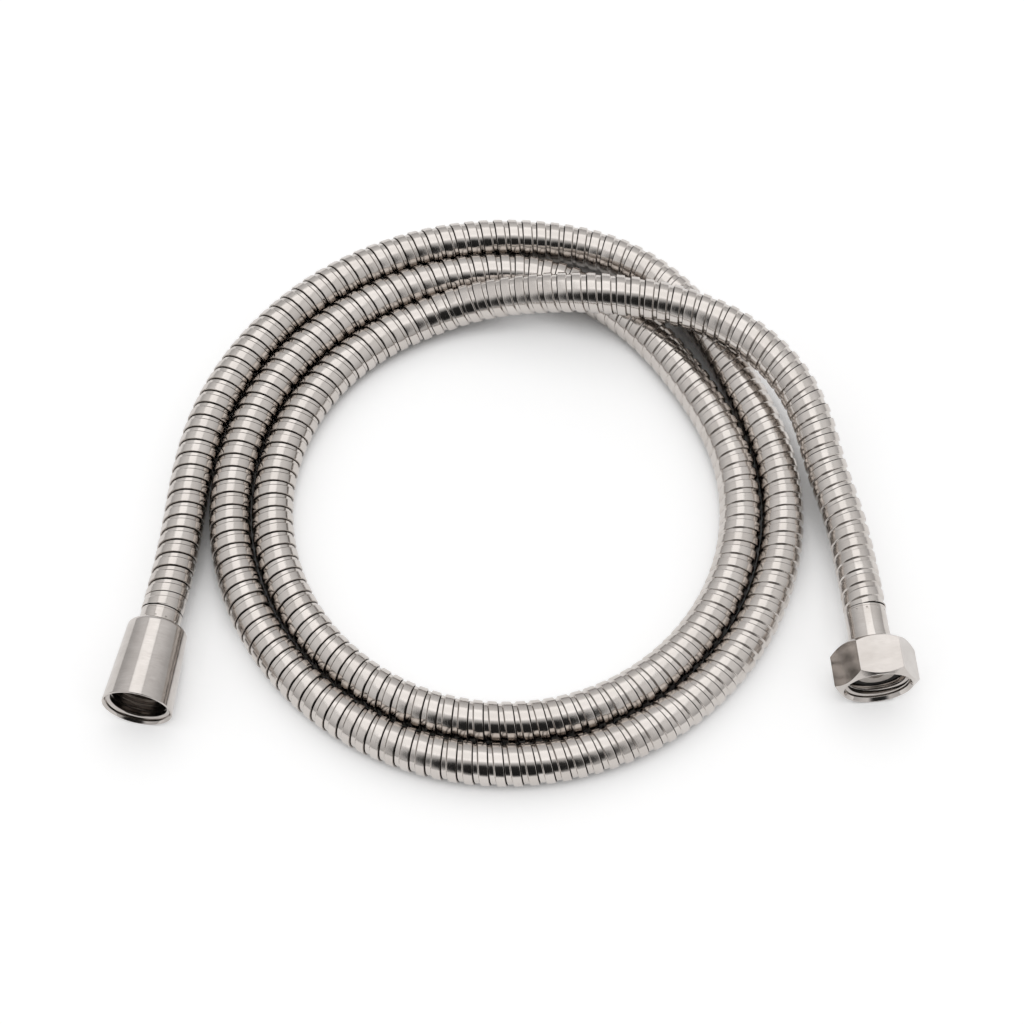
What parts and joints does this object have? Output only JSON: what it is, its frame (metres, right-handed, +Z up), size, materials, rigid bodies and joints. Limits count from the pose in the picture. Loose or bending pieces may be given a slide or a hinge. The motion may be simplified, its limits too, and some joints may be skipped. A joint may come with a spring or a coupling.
{
  "type": "shower hose",
  "caption": "Flexible metal shower hose, coiled, with a tapered swivel nut on one end and a hexagonal swivel nut on the other",
  "frame": {"origin": "middle of the floor area that the coiled hose covers, at floor level", "axes": "+X from the tapered nut's side to the hexagonal nut's side, +Y from the open ends towards the far side of the coil, +Z up"},
  "size_m": [0.2628, 0.2136, 0.0282],
  "materials": {
    "jacket_steel": "brushed nickel over stainless strip, satin with bright edges",
    "nut_nickel": "fine brushed nickel plate",
    "ferrule_nickel": "satin nickel plate",
    "tail_acetal": "moulded acetal, grey beige",
    "inner_tube_rubber": "matt extruded rubber",
    "washer_rubber": "matt moulded rubber, black",
    "slip_ring_plastic": "natural acetal"
  },
  "bodies": {
    "hose": {"hose_jacket": "jacket_steel", "inner_tube": "inner_tube_rubber", "cone_end_ferrule": "ferrule_nickel", "cone_end_tail": "tail_acetal", "cone_end_slip_ring": "slip_ring_plastic", "cone_end_washer": "washer_rubber", "hex_end_ferrule": "ferrule_nickel", "hex_end_tail": "tail_acetal", "hex_end_slip_ring": "slip_ring_plastic", "hex_end_washer": "washer_rubber"},
    "tapered_nut": {"cone_nut": "nut_nickel"},
    "hexagonal_nut": {"hex_nut": "nut_nickel"}
  },
  "joints": [
    {"name": "cone_nut_spin", "type": "hinge", "parent": "hose", "child": "tapered_nut", "pos_m": [-0.11675, -0.0613, 0.01031], "axis": [-0.1583, -0.9856, 0.0587], "continuous": true},
    {"name": "hex_nut_spin", "type": "hinge", "parent": "hose", "child": "hexagonal_nut", "pos_m": [0.1165, -0.06154, 0.012], "axis": [0.09, -0.9959, 0], "continuous": true}
  ]
}
